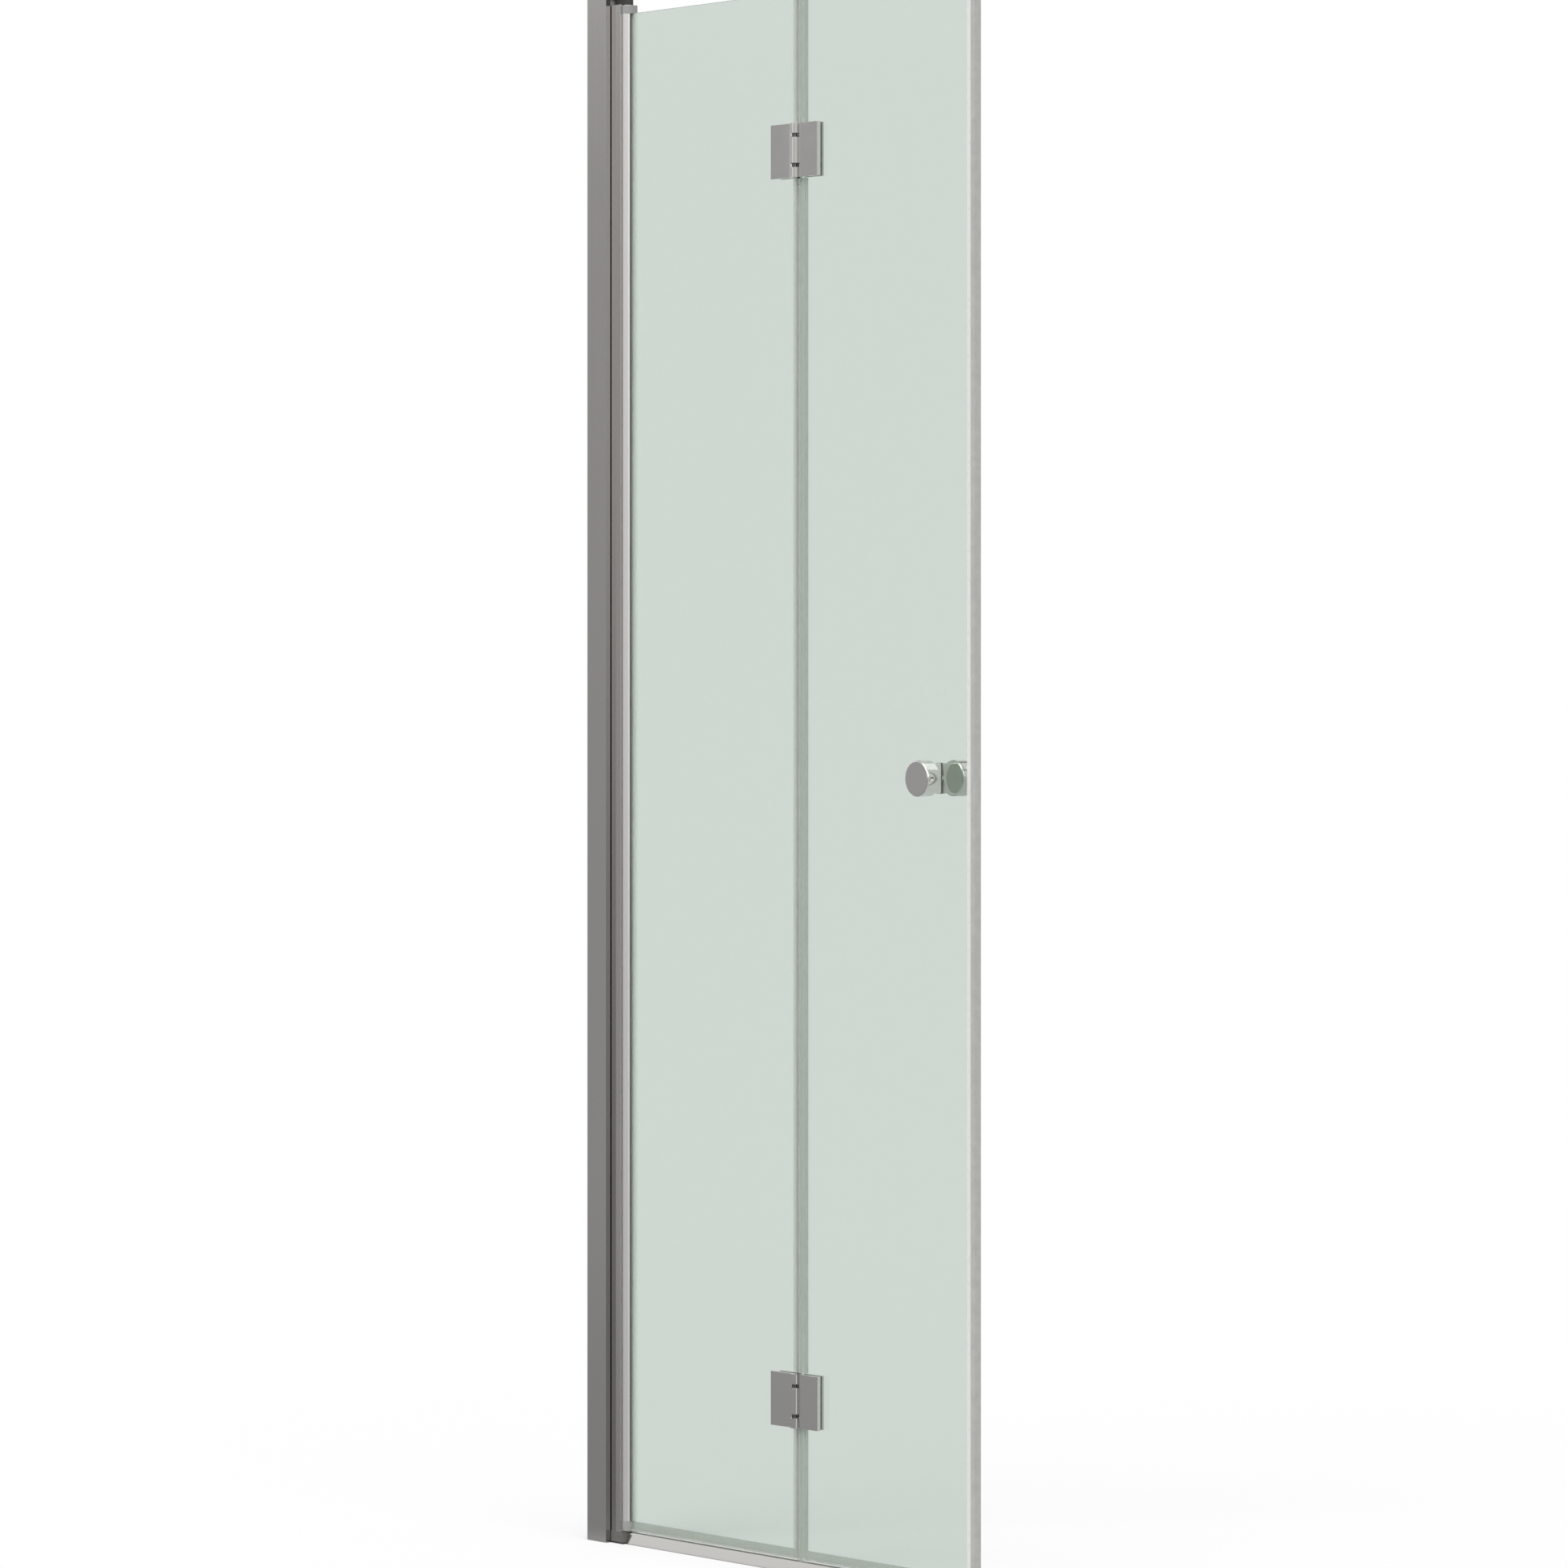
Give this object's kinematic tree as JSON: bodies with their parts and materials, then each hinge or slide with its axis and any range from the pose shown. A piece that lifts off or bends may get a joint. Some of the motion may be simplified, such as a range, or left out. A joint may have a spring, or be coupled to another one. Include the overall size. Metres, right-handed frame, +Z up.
{
  "type": "bifold shower door",
  "caption": "Frameless bifold shower door: wall profile and pivot post carry folding glass leaves with chrome hinges, round knobs, clear seals, a magnetic edge and a low threshold.",
  "frame": {"origin": "foot of the wall profile's back face, at tray level and in the middle of the glass thickness", "axes": "+X from the wall along the closed door to its free edge, -Y towards the room, +Z up"},
  "size_m": [0.7553, 0.0792, 2],
  "materials": {
    "profile_aluminium": "bright anodised silver, smooth extrusion",
    "chrome": "polished chrome plating",
    "steel": "bright turned stainless steel",
    "safety_glass": "clear toughened float glass with a faint green tint",
    "clear_vinyl": "clear soft vinyl, glossy",
    "black_rubber": "matt black rubber",
    "black_plastic": "moulded black plastic, fine grain",
    "dark_grey_plastic": "moulded dark grey plastic, fine grain",
    "grey_plastic": "moulded silver-grey plastic, satin",
    "white_vinyl": "soft pale vinyl",
    "white_nylon": "plain white nylon",
    "magnet_grey": "soft grey vinyl over a flexible magnet"
  },
  "bodies": {
    "frame": {"wall_profile": "profile_aluminium", "wall_profile_cover": "grey_plastic", "post_profile": "profile_aluminium", "clamp_screws": "steel", "clamp_screw_caps": "grey_plastic", "head_block": "black_plastic", "foot_block": "dark_grey_plastic", "foot_pad": "black_rubber", "head_pivot_pin": "steel", "foot_pivot_pin": "steel", "threshold_rail": "profile_aluminium", "threshold_end_cap": "grey_plastic"},
    "inner_leaf": {"pivot_profile": "profile_aluminium", "pivot_top_cap": "grey_plastic", "pivot_bottom_cap": "grey_plastic", "pivot_bushes": "white_nylon", "front_gasket": "black_rubber", "rear_glazing_strip": "clear_vinyl", "inner_glass": "safety_glass", "inner_bottom_seal": "clear_vinyl", "inner_mid_seal": "clear_vinyl", "upper_hinge_inner_plate": "chrome", "lower_hinge_inner_plate": "chrome", "upper_hinge_inner_back": "chrome", "lower_hinge_inner_back": "chrome", "inner_hinge_pads": "clear_vinyl", "inner_hinge_sleeves": "clear_vinyl", "inner_hinge_screws": "steel", "upper_hinge_pin": "steel", "lower_hinge_pin": "steel", "hinge_set_screws": "steel"},
    "outer_leaf": {"upper_hinge_outer_plate": "chrome", "lower_hinge_outer_plate": "chrome", "upper_hinge_outer_back": "chrome", "lower_hinge_outer_back": "chrome", "outer_hinge_pads": "clear_vinyl", "outer_hinge_sleeves": "clear_vinyl", "outer_hinge_screws": "steel", "hinge_bushes": "dark_grey_plastic", "outer_glass": "safety_glass", "outer_bottom_seal": "clear_vinyl", "outer_mid_seal": "clear_vinyl", "magnetic_seal_grip": "clear_vinyl", "magnetic_strip": "magnet_grey", "outer_knob": "chrome", "inner_knob": "chrome", "outer_knob_pad": "black_rubber", "inner_knob_pad": "white_vinyl", "knob_stud": "steel", "knob_sleeve": "clear_vinyl", "knob_grub_screws": "steel"}
  },
  "joints": [
    {"name": "pivot", "type": "hinge", "parent": "frame", "child": "inner_leaf", "pos_m": [0.0605, 0, 1], "axis": [0, 0, 1], "range_deg": [0, 90]},
    {"name": "fold", "type": "hinge", "parent": "inner_leaf", "child": "outer_leaf", "pos_m": [0.415, -0.00875, 1], "axis": [0, 0, -1], "range_deg": [0, 165]}
  ]
}
